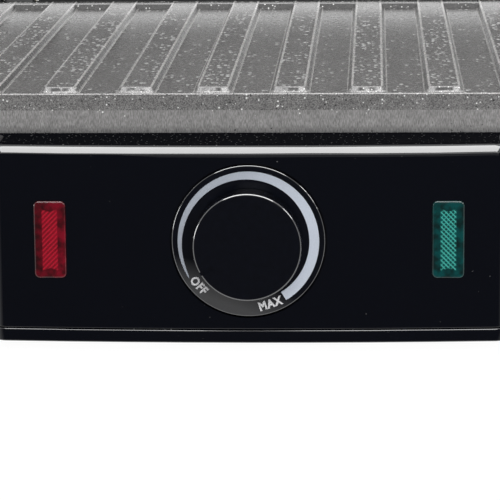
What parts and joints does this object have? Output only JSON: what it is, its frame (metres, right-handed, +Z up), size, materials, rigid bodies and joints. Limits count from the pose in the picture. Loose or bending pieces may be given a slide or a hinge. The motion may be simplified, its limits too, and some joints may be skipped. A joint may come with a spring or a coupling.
{
  "type": "contact grill",
  "caption": "Countertop contact grill for sandwiches, shown open: ribbed stone-effect plates in a black base and a hinged lid, with a round heat dial and two lamps.",
  "frame": {"origin": "on the table, in the middle of the open grill's bounds", "axes": "+X to the user's right, +Y from the front to the rear, +Z up"},
  "size_m": [0.288, 0.4118, 0.392],
  "materials": {
    "housing_black": "gloss black moulding",
    "cover_black": "fine matte texture",
    "foot_rubber": "matte",
    "screw_steel": "zinc plated",
    "plate_coating": "grey speckled non-stick coating on die-cast aluminium",
    "element_steel": "heat tinted",
    "pan_aluminised": "aluminised sheet",
    "thermostat_ceramic": "unglazed",
    "bulb_copper": "bare copper",
    "dial_black": "gloss, with a pale printed wedge",
    "knob_black": "satin gloss",
    "lens_red": "translucent red",
    "lens_green": "translucent green",
    "holder_white": "matte",
    "neon_glass": "clear",
    "tray_black": "fine matte texture",
    "shaft_steel": "ground",
    "lug_cast": "black coated casting",
    "bush_brass": "turned",
    "lid_black": "gloss black moulding",
    "lid_steel": "brushed across the width",
    "grip_black": "soft satin",
    "frame_black": "heat-resistant moulding"
  },
  "bodies": {
    "base": {"base_housing": "housing_black", "bottom_cover": "cover_black", "rubber_feet": "foot_rubber", "lower_plate": "plate_coating", "lower_element": "element_steel", "lower_element_pins": "screw_steel", "lower_reflector": "pan_aluminised", "lower_element_clips": "pan_aluminised", "thermostat_bracket": "screw_steel", "thermostat": "thermostat_ceramic", "thermostat_bulb": "bulb_copper", "capillary_tube": "bulb_copper", "dial_disc": "dial_black", "terminal_block": "holder_white", "thermal_fuse": "screw_steel", "cord_bush": "cover_black", "hinge_cover": "cover_black", "left_hinge_tower": "cover_black", "right_hinge_tower": "cover_black", "power_lamp_lens": "lens_red", "power_lamp_holder": "holder_white", "power_neon": "neon_glass", "ready_lamp_lens": "lens_green", "ready_lamp_holder": "holder_white", "ready_neon": "neon_glass"},
    "hinge_shaft": {"hinge_shaft": "shaft_steel", "shaft_caps": "cover_black"},
    "lid": {"lid_housing": "lid_black", "lid_frame": "frame_black", "lid_cover": "lid_steel", "upper_thermal_cutout": "thermostat_ceramic", "left_handle_bracket": "cover_black", "right_handle_bracket": "cover_black", "handle_grip": "grip_black", "handle_rod": "shaft_steel", "left_hinge_lug": "lug_cast", "right_hinge_lug": "lug_cast", "hinge_bushes": "bush_brass", "upper_plate": "plate_coating", "upper_element": "element_steel", "upper_element_pins": "screw_steel", "upper_reflector": "pan_aluminised", "upper_element_clips": "pan_aluminised"},
    "knob": {"knob": "knob_black", "thermostat_spindle": "shaft_steel"},
    "drip_tray": {"drip_tray": "tray_black"}
  },
  "joints": [
    {"name": "hinge_lift", "type": "slide", "parent": "base", "child": "hinge_shaft", "axis": [0, 0, 1], "range_m": [0, 0.012]},
    {"name": "lid_hinge", "type": "hinge", "parent": "hinge_shaft", "child": "lid", "pos_m": [0, 0.1049, 0.078], "axis": [1, 0, 0], "range_deg": [0, 100]},
    {"name": "dial_turn", "type": "hinge", "parent": "base", "child": "knob", "pos_m": [0, -0.1951, 0.0364], "axis": [0, 1, 0], "range_deg": [0, 268]},
    {"name": "tray_slide", "type": "slide", "parent": "base", "child": "drip_tray", "axis": [-1, 0, 0], "range_m": [0, 0.058]}
  ]
}
